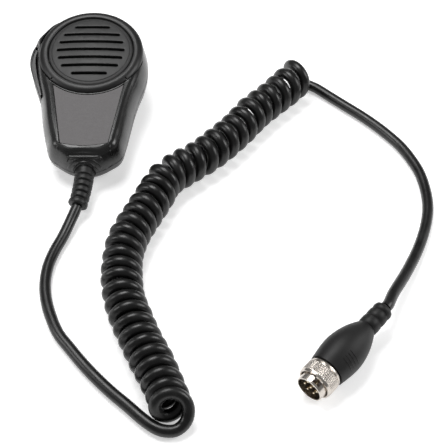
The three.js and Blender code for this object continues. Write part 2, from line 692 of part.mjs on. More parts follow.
function addPlug() {
  const plug = plugGroup();
  model.add(plug);
  add(plug, 'plug_boot', plugBoot(), rubberBlack);
  add(plug, 'coupling_ring', couplingRing(), nickel);
  add(plug, 'plug_shell', plugShell(), nickel);
  const pinCircle = [[0, 0]];
  for (let i = 0; i < 6; i += 1) {
    const angle = (HALF_TURN * i) / 3;
    pinCircle.push([PIN_CIRCLE * Math.cos(angle), PIN_CIRCLE * Math.sin(angle)]);
  }
  const insulatorFront = PLUG_LENGTH - 4.4;
  const pockets = pinCircle.map(([x, y]) => post(0.8, x, y, insulatorFront - 2.6, insulatorFront + 1, 8));
  const insulator = cut(post(5.5, 0, 0, RING_START, insulatorFront, 24), ...pockets);
  add(plug, 'plug_insulator', insulator, phenolic);
  pinCircle.forEach(([x, y], i) => {
    const tip = PLUG_LENGTH - 1.0;
    const pin = turned([
      [0, insulatorFront - 2.3], [0.5, insulatorFront - 2.3], [0.5, tip - 0.4], [0, tip],
    ], 8).translate(x, y, 0);
    add(plug, `plug_pin_${i + 1}`, pin, gold);
  });
}

addHead();
addElectronics();
addTalkBar();
addFastenings();
addCordEntry();
addCord();
addPlug();

export default model;
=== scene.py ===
import math

import bmesh
import bpy
from mathutils import Matrix, Vector
from mathutils.geometry import delaunay_2d_cdt


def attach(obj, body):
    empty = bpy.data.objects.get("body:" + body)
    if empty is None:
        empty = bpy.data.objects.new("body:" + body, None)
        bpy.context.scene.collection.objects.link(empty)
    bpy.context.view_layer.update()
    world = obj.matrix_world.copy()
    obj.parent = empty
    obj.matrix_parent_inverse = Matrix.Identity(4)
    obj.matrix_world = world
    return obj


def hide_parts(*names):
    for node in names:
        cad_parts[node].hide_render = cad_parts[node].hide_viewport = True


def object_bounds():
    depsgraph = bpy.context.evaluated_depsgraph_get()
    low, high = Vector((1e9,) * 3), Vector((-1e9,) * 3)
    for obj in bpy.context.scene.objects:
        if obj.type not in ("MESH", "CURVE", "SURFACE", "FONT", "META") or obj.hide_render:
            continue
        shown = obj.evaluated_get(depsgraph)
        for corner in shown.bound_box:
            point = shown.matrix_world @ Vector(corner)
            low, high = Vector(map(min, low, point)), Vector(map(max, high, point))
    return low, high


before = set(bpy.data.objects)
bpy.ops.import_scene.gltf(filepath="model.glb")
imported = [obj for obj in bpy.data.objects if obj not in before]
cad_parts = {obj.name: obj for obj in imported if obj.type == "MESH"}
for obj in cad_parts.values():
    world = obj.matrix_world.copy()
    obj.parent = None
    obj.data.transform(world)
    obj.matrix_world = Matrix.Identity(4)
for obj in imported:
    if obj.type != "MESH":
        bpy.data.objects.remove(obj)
CAD_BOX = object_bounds()

# A hand microphone on its back, with its curly cord and its plug, as the photograph shows it.
# Shapes are written in millimetres, in the frame of the part that they belong to.

# ---------------------------------------------------------------- frames of reference
TO_METRES = Matrix.Scale(0.001, 4)
FACE_TILT = math.radians(10.2)
GRILLE_CENTRE = Vector((1.4, 17.6, 34.86))
MIC = TO_METRES @ Matrix.Translation(GRILLE_CENTRE) @ Matrix.Rotation(FACE_TILT, 4, "X")

# Heights on the microphone are measured from its face, along the face's normal.
PARTING = -12.5
GAP = 0.3
WALL = 2.0
CORD_HEIGHT = PARTING - GAP / 2
REAR_DEPTH = -29.8
REAR_SLOPE = 0.0875
BUTTON_Y = -3.0


def rear_height(y):
    return REAR_DEPTH - REAR_SLOPE * y


REAR = (MIC @ Matrix.Translation((0, BUTTON_Y, rear_height(BUTTON_Y)))
        @ Matrix.Rotation(-math.atan(REAR_SLOPE), 4, "X"))

PLUG_START = Vector((142.7, -132.4, 11.45))
PLUG_AHEAD = Vector((-0.661, -0.748, -0.057)).normalized()
PLUG_LEVEL = Vector((0, 0, 1)).cross(PLUG_AHEAD).normalized()
PLUG_UP = PLUG_AHEAD.cross(PLUG_LEVEL)
PLUG = TO_METRES @ Matrix.Translation(PLUG_START) @ Matrix(
    (PLUG_LEVEL, PLUG_UP, PLUG_AHEAD)).transposed().to_4x4()


# ---------------------------------------------------------------- curves
def spline(points, steps, closed=False):
    """A centripetal Catmull-Rom curve through the points."""
    points = [Vector(p) for p in points]
    count = len(points)
    curve = []
    for i in range(count if closed else count - 1):
        p1, p2 = points[i], points[(i + 1) % count]
        p0 = points[i - 1] if closed or i else 2 * p1 - p2
        last = not closed and i + 2 >= count
        p3 = 2 * p2 - p1 if last else points[(i + 2) % count]
        d0, d1, d2 = ((b - a).length ** 0.5 for a, b in ((p0, p1), (p1, p2), (p2, p3)))
        t1 = ((p1 - p0) / d0 - (p2 - p0) / (d0 + d1) + (p2 - p1) / d1) * d1
        t2 = ((p2 - p1) / d1 - (p3 - p1) / (d1 + d2) + (p3 - p2) / d2) * d1
        for k in range(steps):
            t = k / steps
            curve.append(p1 + t1 * t + (3 * (p2 - p1) - 2 * t1 - t2) * t ** 2
                         + (2 * (p1 - p2) + t1 + t2) * t ** 3)
    if not closed:
        curve.append(points[-1])
    return curve


def lengths_along(points):
    total = [0.0]
    for a, b in zip(points, points[1:]):
        total.append(total[-1] + (b - a).length)
    return total


def at_length(points, lengths, wanted):
    """The point at a distance along a polyline."""
    low, high = 0, len(points) - 2
    while low < high:
        middle = (low + high + 1) // 2
        if lengths[middle] <= wanted:
            low = middle
        else:
            high = middle - 1
    span = lengths[low + 1] - lengths[low]
    return points[low].lerp(points[low + 1], (wanted - lengths[low]) / span)


def spaced(points, count):
    """Evenly spaced points along a polyline."""
    lengths = lengths_along(points)
    return [at_length(points, lengths, lengths[-1] * i / count) for i in range(count)]


def between(table, x):
    """Straight-line interpolation in a table of pairs."""
    for (x0, y0), (x1, y1) in zip(table, table[1:]):
        if x <= x1:
            return y0 + (y1 - y0) * (x - x0) / (x1 - x0)
    return table[-1][1]


# ---------------------------------------------------------------- camera
def add_camera():
    """The photograph's view: from in front and above, 49 degrees down."""
    data = bpy.data.cameras.new("camera")
    data.lens = 88.39
    data.sensor_width = 36.0
    camera = bpy.data.objects.new("camera", data)
    camera.location = (0.07084, -0.42682, 0.40798)
    camera.rotation_euler = (math.radians(41.0), 0, 0)
    bpy.context.scene.collection.objects.link(camera)
    bpy.context.scene.camera = camera


add_camera()

# ---------------------------------------------------------------- cord
CORD_RADIUS = 2.75
TAIL_FROM_MICROPHONE = [
    (-1.2, -65.9, 6.4), (-2.3, -69.4, 5.6), (-3.8, -73.5, 4.5), (-6.8, -82.5, 3.1),
    (-10.0, -91.3, 2.75), (-12.2, -100.7, 2.75), (-12.6, -110.6, 2.75), (-11.3, -119.7, 2.75),
    (-8.6, -128.6, 2.75), (-3.8, -139.5, 2.75), (2.3, -147.8, 2.75), (9.6, -157.1, 2.75),
    (16.2, -164.5, 2.75), (22.7, -171.1, 2.75), (29.4, -177.2, 2.75), (36.0, -183.5, 2.75),
    (40.6, -187.2, 2.75), (45.0, -189.4, 2.75),
]
COIL_MIDDLE = [
    (49.4, -185.0), (47.6, -178.0), (42.2, -165.1), (35.8, -151.7), (30.3, -138.8),
    (25.5, -125.0), (23.6, -110.6), (24.0, -96.9), (26.6, -86.4), (31.4, -75.1), (36.8, -63.0),
    (41.6, -51.5), (50.4, -43.3), (60.7, -34.9), (69.8, -25.4), (78.8, -14.2), (86.6, -2.9),
    (95.4, 6.7), (104.1, 16.4), (111.4, 25.7),
]
TAIL_TO_PLUG = [
    (121.0, 24.0, 2.75), (127.7, 17.6, 2.75), (135.5, 10.1, 2.75), (143.0, 3.0, 2.75),
    (150.3, -4.7, 2.75), (157.2, -13.2, 2.75), (162.6, -21.1, 2.75), (166.9, -30.1, 2.75),
    (170.2, -39.7, 2.75), (171.8, -50.8, 2.75), (171.8, -62.3, 2.75), (170.2, -71.7, 2.75),
    (167.4, -81.1, 2.8), (163.6, -90.9, 3.2), (158.8, -101.3, 4.5), (153.4, -112.0, 6.8),
    (148.0, -122.0, 9.2), (144.6, -129.9, 11.1), (143.2, -131.8, 11.4),
]
TURNS = 36
POINTS_PER_TURN = 32
# Tables by turn: how far the coil advances, in proportion, and how wide the turn is.
PITCHES = [
    (0, 6.2), (1, 6.0), (2, 6.0), (4, 6.1), (8, 6.4), (20, 6.7), (27, 7.2), (34, 7.4), (36, 7.0),
]
COIL_RADII = [(0, 7.2), (1.2, 6.3), (4, 6.9), (33, 6.95), (35, 7.3), (36, 7.7)]
# Over this part of its last turn, the coil opens by this distance.
OPENING_TURNS = 0.6
OPENING = 4.4
# The cord is this much thicker where it is wound, so that its turns touch.
COIL_THICKENING = 1.055
# Degrees of lean all along, degrees more at the start, and the turns over which those fade.
SETTLED_LEAN, FIRST_LEAN, LEAN_FADE = 6, 34, 2.0
# The axis's direction is taken over this distance each way.
AXIS_REACH = 3


def coil_lean(turn):
    """The first turns lean back over the ones behind them."""
    return math.radians(SETTLED_LEAN + FIRST_LEAN * math.exp(-turn / LEAN_FADE))


def coil_points():
    """The cord's middle line through the coil: a left-handed helix round a curved axis."""
    middle = spline([(x, y, 0) for x, y in COIL_MIDDLE], 24)
    lengths = lengths_along(middle)
    samples = TURNS * POINTS_PER_TURN
    advance = [0.0]
    for i in range(samples):
        advance.append(advance[-1] + between(PITCHES, (i + 0.5) / POINTS_PER_TURN))
    points = []
    for i in range(samples + 1):
        turn = i / POINTS_PER_TURN
        unevenness = 0.25 * math.sin(2.3 * turn) * math.sin(math.pi * turn / TURNS)
        distance = advance[i] / advance[-1] * lengths[-1]
        centre = at_length(middle, lengths, min(max(distance + unevenness, 0), lengths[-1]))
        ahead = (at_length(middle, lengths, min(distance + AXIS_REACH, lengths[-1]))
                 - at_length(middle, lengths, max(distance - AXIS_REACH, 0))).normalized()
        side = ahead.cross(Vector((0, 0, 1)))
        lean = coil_lean(turn)
        leaning = Vector((0, 0, math.cos(lean))) + ahead * math.sin(lean)
        loose = min(max((turn - TURNS + OPENING_TURNS) / OPENING_TURNS, 0), 1)
        centre = centre + ahead * OPENING * loose ** 2 * (3 - 2 * loose)
        radius = between(COIL_RADII, turn) * (1 + 0.012 * math.sin(1.7 * turn))
        centre.z = CORD_RADIUS * COIL_THICKENING + radius * math.cos(lean)
        angle = 2 * math.pi * turn
        points.append(centre + radius * (side * math.sin(angle) - leaning * math.cos(angle)))
    return points


def cord_points():
    """The cord's middle line: the stretch from the microphone, the coil, and the stretch to the plug."""
    coil = coil_points()
    steps = 4
    start = spline(TAIL_FROM_MICROPHONE + [coil[0], coil[3]], steps)[:-steps - 1]
    end = spline([coil[-4], coil[-1]] + TAIL_TO_PLUG, steps)[steps + 1:]
    return start, coil, end


def add_cord(material):
    """The whole cord as one open curve, a little thicker where it is wound."""
    start, coil, end = cord_points()
    points = [p * 0.001 for p in start + coil + end]
    curve = bpy.data.curves.new("cord_whole", "CURVE")
    curve.dimensions = "3D"
    curve.bevel_depth = CORD_RADIUS * 0.001
    curve.bevel_resolution = 5
    curve.use_fill_caps = True
    line = curve.splines.new("POLY")
    line.points.add(len(points) - 1)
    for i, (target, point) in enumerate(zip(line.points, points)):
        target.co = (*point, 1)
        inside_coil = min(i - len(start), len(start) + len(coil) - i) / POINTS_PER_TURN
        target.radius = 1 + (COIL_THICKENING - 1) * min(max(inside_coil, 0), 1)
    line.use_smooth = True
    curve.materials.append(material)
    cord = bpy.data.objects.new("cord_whole", curve)
    bpy.context.scene.collection.objects.link(cord)
    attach(cord, "root")
    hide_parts("cord_tail_mic", "cord_coil", "cord_tail_plug")
    return cord, points[0], lengths_along(points)[-1]


# ---------------------------------------------------------------- materials
GRAIN_DEPTH = 0.00002


def finish(name, dark, light, roughness, metallic=0.0, grain=1500.0, bump=0.15, patch=60.0,
           specular=0.5):
    """A moulded or metal finish: its colour and gloss vary in patches, and a fine grain is raised."""
    material = bpy.data.materials.new(name)
    material.use_nodes = True
    nodes, links = material.node_tree.nodes, material.node_tree.links
    shader = nodes["Principled BSDF"]
    shader.inputs["Metallic"].default_value = metallic
    shader.inputs["Specular IOR Level"].default_value = specular
    place = nodes.new("ShaderNodeTexCoord")
    patches = nodes.new("ShaderNodeTexNoise")
    patches.inputs["Scale"].default_value = patch
    patches.inputs["Detail"].default_value = 4.0
    fine = nodes.new("ShaderNodeTexNoise")
    fine.inputs["Scale"].default_value = grain
    fine.inputs["Detail"].default_value = 2.0
    both = nodes.new("ShaderNodeMath")
    both.operation = "ADD"
    half = nodes.new("ShaderNodeMath")
    half.operation = "MULTIPLY"
    half.inputs[1].default_value = 0.5
    tint = nodes.new("ShaderNodeValToRGB")
    tint.color_ramp.elements[0].position = 0.35
    tint.color_ramp.elements[0].color = (*dark, 1)
    tint.color_ramp.elements[1].position = 0.65
    tint.color_ramp.elements[1].color = (*light, 1)
    gloss = nodes.new("ShaderNodeMapRange")
    gloss.inputs["From Min"].default_value = 0.3
    gloss.inputs["From Max"].default_value = 0.7
    gloss.inputs["To Min"].default_value = roughness[0]
    gloss.inputs["To Max"].default_value = roughness[1]
    relief = nodes.new("ShaderNodeBump")
    relief.inputs["Strength"].default_value = bump
    relief.inputs["Distance"].default_value = GRAIN_DEPTH
    links.new(place.outputs["Object"], patches.inputs["Vector"])
    links.new(place.outputs["Object"], fine.inputs["Vector"])
    links.new(patches.outputs["Fac"], both.inputs[0])
    links.new(fine.outputs["Fac"], both.inputs[1])
    links.new(both.outputs["Value"], half.inputs[0])
    links.new(half.outputs["Value"], tint.inputs["Fac"])
    links.new(tint.outputs["Color"], shader.inputs["Base Color"])
    links.new(patches.outputs["Fac"], gloss.inputs["Value"])
    links.new(gloss.outputs["Result"], shader.inputs["Roughness"])
    links.new(fine.outputs["Fac"], relief.inputs["Height"])
    links.new(relief.outputs["Normal"], shader.inputs["Normal"])
    return material


def grey(value):
    return (value, value, value)


CASE = finish("case_plastic", grey(0.006), grey(0.009), (0.22, 0.32), grain=2600, bump=0.08)
REAR_CASE = finish("rear_plastic", grey(0.007), grey(0.011), (0.28, 0.4), grain=2200, bump=0.15)
COLLAR = finish("collar_plastic", grey(0.005), grey(0.008), (0.36, 0.44), grain=2200, bump=0.15,
                specular=0.38)
GRILLE = finish("grille_plastic", grey(0.009), grey(0.015), (0.5, 0.6), grain=2400, bump=0.35)
LABEL = finish("label_film", (0.062, 0.058, 0.059), (0.1, 0.094, 0.096), (0.5, 0.65), grain=2200,
               bump=0.4, patch=900.0)
KEY = finish("key_plastic", grey(0.007), grey(0.01), (0.3, 0.4), grain=2000, bump=0.15)
JACKET = finish("cord_polyurethane", grey(0.003), grey(0.006), (0.26, 0.4), grain=900, bump=0.08,
                patch=160.0, specular=0.4)
RELIEF = finish("relief_rubber_black", grey(0.005), grey(0.008), (0.4, 0.5), grain=1800, bump=0.2,
                specular=0.35)
OVERMOULD = finish("overmould_rubber", grey(0.006), grey(0.009), (0.45, 0.55), grain=2400, bump=0.3,
                   specular=0.3)
NICKEL = finish("nickel_plate", (0.5, 0.46, 0.42), (0.6, 0.56, 0.51), (0.2, 0.3), metallic=1.0,
                grain=3000, bump=0.1, patch=200.0)
STEEL = finish("zinc_steel", (0.5, 0.5, 0.5), (0.62, 0.62, 0.61), (0.28, 0.4), metallic=1.0,
               grain=3000, bump=0.15, patch=300.0)
BROWN = finish("insulator_phenolic", (0.016, 0.006, 0.003), (0.03, 0.011, 0.006), (0.4, 0.55),
               grain=2000, bump=0.2)
GOLD = finish("pin_plate", (0.8, 0.68, 0.5), (0.9, 0.8, 0.62), (0.18, 0.26), metallic=1.0,
              grain=3000, bump=0.05, patch=300.0)
PALE = finish("pale_rubber_ring", (0.3, 0.29, 0.27), (0.38, 0.37, 0.35), (0.6, 0.75), grain=1600,
              bump=0.2)
FELT = finish("capsule_felt", grey(0.004), grey(0.008), (0.8, 0.9), grain=3000, bump=0.5)
BOARD = finish("board_mask", (0.01, 0.06, 0.025), (0.015, 0.09, 0.04), (0.3, 0.4), grain=1800,
               bump=0.1)
SWITCH = finish("switch_body", grey(0.012), grey(0.02), (0.35, 0.45), grain=2000, bump=0.1)
SLEEVE = finish("capacitor_sleeve", (0.01, 0.01, 0.02), (0.015, 0.015, 0.03), (0.3, 0.4),
                grain=1500, bump=0.1)
FLOOR = finish("table_white", grey(0.93), grey(0.95), (0.6, 0.7), grain=400, bump=0.02,
               patch=8.0)
# The table is lit from below, so the shadows on it are faint.
FLOOR_SHADER = FLOOR.node_tree.nodes["Principled BSDF"]
FLOOR_SHADER.inputs["Emission Color"].default_value = (1, 1, 1, 1)
FLOOR_SHADER.inputs["Emission Strength"].default_value = 0.42


# ---------------------------------------------------------------- meshes
def linked(mesh):
    thing = bpy.data.objects.new("work", mesh)
    bpy.context.scene.collection.objects.link(thing)
    return thing


def applied(thing):
    """The object's mesh with its modifiers applied; the object goes."""
    bpy.context.view_layer.update()
    depsgraph = bpy.context.evaluated_depsgraph_get()
    mesh = bpy.data.meshes.new_from_object(thing.evaluated_get(depsgraph))
    bpy.data.objects.remove(thing)
    return mesh


def solid(points, faces):
    """A mesh whose shared corners are merged and whose faces look outwards."""
    mesh = bpy.data.meshes.new("solid")
    mesh.from_pydata([tuple(p) for p in points], [], faces)
    work = bmesh.new()
    work.from_mesh(mesh)
    bmesh.ops.remove_doubles(work, verts=work.verts, dist=1e-5)
    bmesh.ops.recalc_face_normals(work, faces=work.faces)
    work.to_mesh(mesh)
    work.free()
    return mesh


def boolean(operation, mesh, tools):
    base = linked(mesh)
    others = [linked(tool) for tool in tools]
    for other in others:
        change = base.modifiers.new("change", "BOOLEAN")
        change.operation = operation
        change.solver = "EXACT"
        change.object = other
    result = applied(base)
    for other in others:
        bpy.data.objects.remove(other)
    return result


def cut(mesh, *tools):
    return boolean("DIFFERENCE", mesh, tools)


def join(mesh, *others):
    return boolean("UNION", mesh, others)


def merged(mesh, *others):
    """One mesh of several that only touch or lie in each other."""
    work = bmesh.new()
    for part in (mesh, *others):
        work.from_mesh(part)
    work.to_mesh(mesh)
    work.free()
    return mesh


def bevelled(mesh, width, segments=2, angle=32.0):
    thing = linked(mesh)
    change = thing.modifiers.new("edge", "BEVEL")
    change.width = width
    change.segments = segments
    change.limit_method = "ANGLE"
    change.angle_limit = math.radians(angle)
    return applied(thing)


def box(x0, x1, y0, y1, z0, z1):
    points = [(x, y, z) for x in (x0, x1) for y in (y0, y1) for z in (z0, z1)]
    faces = [(0, 1, 3, 2), (4, 6, 7, 5), (0, 4, 5, 1), (2, 3, 7, 6), (0, 2, 6, 4), (1, 5, 7, 3)]
    return solid(points, faces)


def moved(mesh, matrix):
    mesh.transform(matrix)
    return mesh


def turned(profile, sides=64):
    """A turned solid about Z: the profile's pairs are radius and height."""
    ring = profile[0] == profile[-1]
    rows = profile[:-1] if ring else profile
    points, index = [], []
    for radius, height in rows:
        if radius < 1e-6:
            index.append([len(points)] * sides)
            points.append((0, 0, height))
            continue
        index.append(list(range(len(points), len(points) + sides)))
        for i in range(sides):
            angle = 2 * math.pi * i / sides
            points.append((radius * math.cos(angle), radius * math.sin(angle), height))
    faces = []
    pairs = list(zip(index, index[1:])) + ([(index[-1], index[0])] if ring else [])
    for low, high in pairs:
        for i in range(sides):
            j = (i + 1) % sides
            corners = [low[i], low[j], high[j], high[i]]
            face = [c for k, c in enumerate(corners) if c not in corners[:k]]
            if len(face) > 2:
                faces.append(face)
    return solid(points, faces)


def post(radius, x, y, z0, z1, sides=32):
    """An upright cylinder from z0 to z1."""
    mesh = turned([(0, z0), (radius, z0), (radius, z1), (0, z1)], sides)
    return moved(mesh, Matrix.Translation((x, y, 0)))


def prism(outline, z0, z1):
    """An outline in x and y, raised from z0 to z1."""
    count = len(outline)
    points = [(x, y, z0) for x, y in outline] + [(x, y, z1) for x, y in outline]
    faces = [tuple(range(count))[::-1], tuple(range(count, 2 * count))]
    faces += [(i, (i + 1) % count, count + (i + 1) % count, count + i) for i in range(count)]
    return solid(points, faces)


def lofted(rings):
    """A closed skin over a stack of rings that all have the same number of corners."""
    count = len(rings[0])
    points = [corner for ring in rings for corner in ring]
    faces = [tuple(range(count))[::-1], tuple(range(len(points) - count, len(points)))]
    for level in range(len(rings) - 1):
        low, high = level * count, (level + 1) * count
        faces += [(low + i, low + (i + 1) % count, high + (i + 1) % count, high + i)
                  for i in range(count)]
    return solid(points, faces)


def tube(path, radius, sides=10):
    """A round bead along a path, closed at its ends."""
    rings = []
    for i, point in enumerate(path):
        ahead = (path[min(i + 1, len(path) - 1)] - path[max(i - 1, 0)]).normalized()
        side = ahead.cross(Vector((0.1, 0.2, 1))).normalized()
        over = side.cross(ahead)
        size = radius * (0.35 if i in (0, len(path) - 1) else 1)
        rings.append([point + size * (side * math.cos(a) + over * math.sin(a))
                      for a in (2 * math.pi * k / sides for k in range(sides))])
    return lofted(rings)


def swept(path, radii, sides=48):
    """A round skin whose radius changes along a path."""
    rings = []
    for i, (point, radius) in enumerate(zip(path, radii)):
        ahead = (path[min(i + 1, len(path) - 1)] - path[max(i - 1, 0)]).normalized()
        side = ahead.cross(Vector((0, 0, 1))).normalized()
        over = side.cross(ahead)
        rings.append([point + radius * (side * math.cos(a) + over * math.sin(a))
                      for a in (2 * math.pi * k / sides for k in range(sides))])
    return lofted(rings)


def sheet_solid(edge, holes, inner, top, bottom):
    """A plate with holes: its top and bottom heights are functions of x and y."""
    points = [Vector(p) for p in edge]
    loops = [list(range(len(edge)))]
    for hole in holes:
        loops.append(list(range(len(points), len(points) + len(hole))))
        points += [Vector(p) for p in hole]
    borders = [(a, b) for loop in loops for a, b in zip(loop, loop[1:] + loop[:1])]
    points += [Vector(p) for p in inner]
    made = delaunay_2d_cdt(points, borders, [], 0, 1e-6)
    flat, triangles = made[0], made[2]

    def in_hole(x, y):
        return any(inside(hole, x, y) for hole in holes) or not inside(edge, x, y)

    kept = [t for t in triangles
            if not in_hole(sum(flat[i].x for i in t) / 3, sum(flat[i].y for i in t) / 3)]
    count = len(flat)
    corners = [(p.x, p.y, top(p.x, p.y)) for p in flat]
    corners += [(p.x, p.y, bottom(p.x, p.y)) for p in flat]
    faces = [tuple(t) for t in kept] + [tuple(i + count for i in reversed(t)) for t in kept]
    sides = {}
    for t in kept:
        for a, b in zip(t, t[1:] + t[:1]):
            sides[(a, b)] = True
    faces += [(b, a, a + count, b + count) for a, b in sides if (b, a) not in sides]
    return solid(corners, faces)


def inside(loop, x, y):
    """Whether a closed loop of x, y pairs goes round the point."""
    hit = False
    for (x0, y0), (x1, y1) in zip(loop, loop[1:] + loop[:1]):
        if (y0 > y) != (y1 > y) and x < (x1 - x0) * (y - y0) / (y1 - y0) + x0:
            hit = not hit
    return hit


def piece(name, mesh, place, material, slot, *nodes, body="root", sharp=32.0):
    """Puts a finished mesh in the scene, smooth except at its sharp edges."""
    mesh.transform(place)
    mesh.materials.clear()
    mesh.materials.append(material)
    work = bmesh.new()
    work.from_mesh(mesh)
    limit = math.radians(sharp)
    for face in work.faces:
        face.smooth = True
        face.material_index = 0
    for edge in work.edges:
        edge.smooth = len(edge.link_faces) == 2 and edge.calc_face_angle(0) < limit
    work.to_mesh(mesh)
    work.free()
    thing = bpy.data.objects.new(name, mesh)
    bpy.context.scene.collection.objects.link(thing)
    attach(thing, body)
    if nodes:
        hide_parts(*nodes)
    return thing


# ---------------------------------------------------------------- case shells
CASE_RIGHT = [
    (0, 28.2), (10, 27.0), (19.0, 22.0), (25.0, 14.5), (28.3, 5), (29.4, -5), (28.1, -14.5),
    (25.4, -24), (23.6, -32), (21.9, -42), (20.2, -52), (18.0, -60.0), (13.2, -64.2), (7.5, -67.6),
]
CASE_LEFT = [
    (0, -69.2), (-7.5, -67.6), (-13.2, -64.2), (-18.1, -60.0), (-20.6, -52), (-22.9, -42),
    (-25.2, -28), (-28.2, -16), (-30.0, -6), (-30.7, 4), (-31.2, 10.0), (-27.6, 16.4),
    (-22.6, 22.2), (-12, 27.0),
]
OUTLINE_STEPS = 208
CASE_CURVE = spline((CASE_RIGHT + CASE_LEFT)[::-1], 24, closed=True)
OUTLINE = spaced(CASE_CURVE + CASE_CURVE[:1], OUTLINE_STEPS)
# How far in the shells are at each height, or at each share of the rear shell's depth.
FRONT_PROFILE = [(0, PARTING), (0.6, -9), (1.7, -5.5), (3.0, -3.0), (4.4, -1.6), (6.0, -1.0)]
REAR_PROFILE = [(0, 0), (0.5, 0.28), (1.3, 0.46), (2.8, 0.65), (5.3, 0.86), (8.4, 1)]
CASE_SCREWS = [(-17.5, 13.5), (17.5, 13.5), (-11.6, -52), (11.6, -52)]
BOARD_POSTS = [(9, -14), (-8, -36)]
CLAMP_SCREW = (6.4, -45.8)
PTT_PIVOT = (-27.2, 6.2)
SEAT_RADIUS = 27.5
SEAT_FLOOR = -4.0
SEAT_OPENING = 20.5
LABEL_FLOOR, LABEL_BOTTOM, LABEL_TOP = -2.0, -1.7, -1.2
LABEL_MARGIN = 0.35
PILOT_RADIUS = 1.65
SHAFT_RADIUS = 1.7
COUNTERBORE_RADIUS, COUNTERBORE_DEPTH = 3.2, 6
SMALL_HOLE = 1.3
BELOW_CASE = -36
KEY_TOP, KEY_BOTTOM = -5.4, -17.2
KEY_ROOM = 0.4
TUNNEL_RADIUS = 5.4
EDGE_ROUND = 0.28
OUTLINE_REACH = 4


def outline_ring(inset, height_at):
    """The case's outline moved inwards, at heights that may vary along the case."""
    ring = []
    for i, point in enumerate(OUTLINE):
        after = OUTLINE[(i + OUTLINE_REACH) % OUTLINE_STEPS]
        along = (after - OUTLINE[i - OUTLINE_REACH]).normalized()
        x, y = point.x - along.y * inset, point.y + along.x * inset
        ring.append(Vector((x, y, height_at(y))))
    return ring


def flat_ring(inset, height):
    return outline_ring(inset, lambda y: height)


# The upper edge of the lower end is nearly straight, so its middle is drawn in.
END_DRAW = [(0, 0), (3.0, 3.2), (6.0, 2.3)]
END_HALF_WIDTH = 11.5
END_START = -50


def front_ring(inset, height):
    """A ring of the front shell, drawn in at the middle of its lower end."""
    ring = flat_ring(inset, height)
    for point in ring:
        if point.y < END_START and abs(point.x) < END_HALF_WIDTH:
            share = math.cos(math.pi * point.x / (2 * END_HALF_WIDTH)) ** 2
            point.y += between(END_DRAW, inset) * share
    return ring


def depth_ring(inset, share):
    """A ring of the rear shell, at a share of the depth to its sloping back."""
    start = PARTING - GAP
    return outline_ring(inset, lambda y: start + (rear_height(y) - start) * share)


def label_outline(margin):
    """The panel's edge: an arc round the bezel, straight sides and a bowed bottom."""
    arc_radius = 28.2 - margin
    top_half, bottom_half, bottom = 18.0 + margin, 11.9 + margin, -57.8 - margin
    side = math.asin(top_half / arc_radius)
    points = []
    for i in range(24):
        t = i / 24
        points.append((bottom_half * (2 * t - 1), bottom - 3.4 * 2 * t * (1 - t)))
    points.append((bottom_half, bottom))
    for i in range(49):
        angle = side - math.pi / 2 - 2 * side * i / 48
        points.append((arc_radius * math.cos(angle), arc_radius * math.sin(angle)))
    return points


def talk_slot():
    """The room for the talk bar in the left flank."""
    return box(-38, -21.9, -26.5, 8.8, KEY_BOTTOM - KEY_ROOM, KEY_TOP + KEY_ROOM)


def cord_tunnel():
    """The round room for the strain relief, through the lower end."""
    mesh = turned([(0, -76), (TUNNEL_RADIUS, -76), (TUNNEL_RADIUS, -60), (0, -60)], 48)
    swing = Matrix.Rotation(-math.pi / 2, 4, "X")
    return moved(mesh, Matrix.Translation((0, 0, CORD_HEIGHT)) @ swing)


def skin_point(x, z, sunk=0.0):
    """The point of the front case's lower end at x and z, or a little inside it."""
    inset = between([(height, inset) for inset, height in FRONT_PROFILE], z)
    ring = [p for p in front_ring(inset, z) if p.y < -40]
    ring.sort(key=lambda p: p.x)
    return Vector((x, between([(p.x, p.y) for p in ring], x) + sunk, z))


def ledge():
    """The small raised ledge above the cord's exit, with its ends turned down."""
    places = [(-8.4, -7.0), (-8.3, -5.9), (-7.6, -4.9)]
    places += [(-7.2 + 1.2 * i, -4.5) for i in range(13)]
    places += [(8.0, -4.9), (8.7, -5.9), (8.8, -7.0)]
    path = [skin_point(x, z, 0.45) for x, z in places]
    return tube(spline(path, 3), 0.85, 16)


def entry_arch(radius, thickness):
    """A raised arch over the cord's exit."""
    path = []
    for i in range(25):
        angle = math.pi * (0.04 + 0.92 * i / 24)
        height = CORD_HEIGHT + radius * math.sin(angle)
        path.append(skin_point(radius * math.cos(angle), max(height, PARTING + 0.1), 0.35))
    return tube(path, thickness, 16)


def front_case():
    """The front shell: hollow, with the grille's seat, the label's recess and the screw bosses."""
    profile = spline(FRONT_PROFILE, 5)
    shell = lofted([front_ring(p.x, p.y) for p in profile])
    hollow = lofted([flat_ring(WALL, PARTING - 1), flat_ring(WALL + 2.6, -6)])
    lower = cut(lofted([flat_ring(WALL + 2.8, -6.1), flat_ring(WALL + 4.6, -3.8)]),
                post(SEAT_RADIUS + 2, 0, 0, -8, -1, 64))
    shape = cut(shell, hollow, lower, post(SEAT_RADIUS, 0, 0, SEAT_FLOOR, 2, 160),
                post(SEAT_OPENING, 0, 0, -8, -2, 64),
                prism(label_outline(LABEL_MARGIN), LABEL_FLOOR, 1))
    bosses = [post(3.0, x, y, PARTING, -5.5 if y > 0 else -3.5, 24) for x, y in CASE_SCREWS]
    shape = join(shape, *bosses, post(2.2, *PTT_PIVOT, KEY_TOP + GAP, -4.2, 24))
    pilots = [post(PILOT_RADIUS, x, y, PARTING - 1, -6.6, 20) for x, y in CASE_SCREWS]
    shape = bevelled(cut(shape, *pilots, talk_slot(), cord_tunnel()), EDGE_ROUND, 2, 40)
    ridges = [tube([skin_point(x, z, 0.3) for z in (-1.7, -2.2, -2.8, -3.4, -4.0)], 0.55, 16)
              for x in (-12.9, 12.9)]
    return merged(shape, ledge(), entry_arch(6.2, 0.75), entry_arch(8.3, 0.65), *ridges)


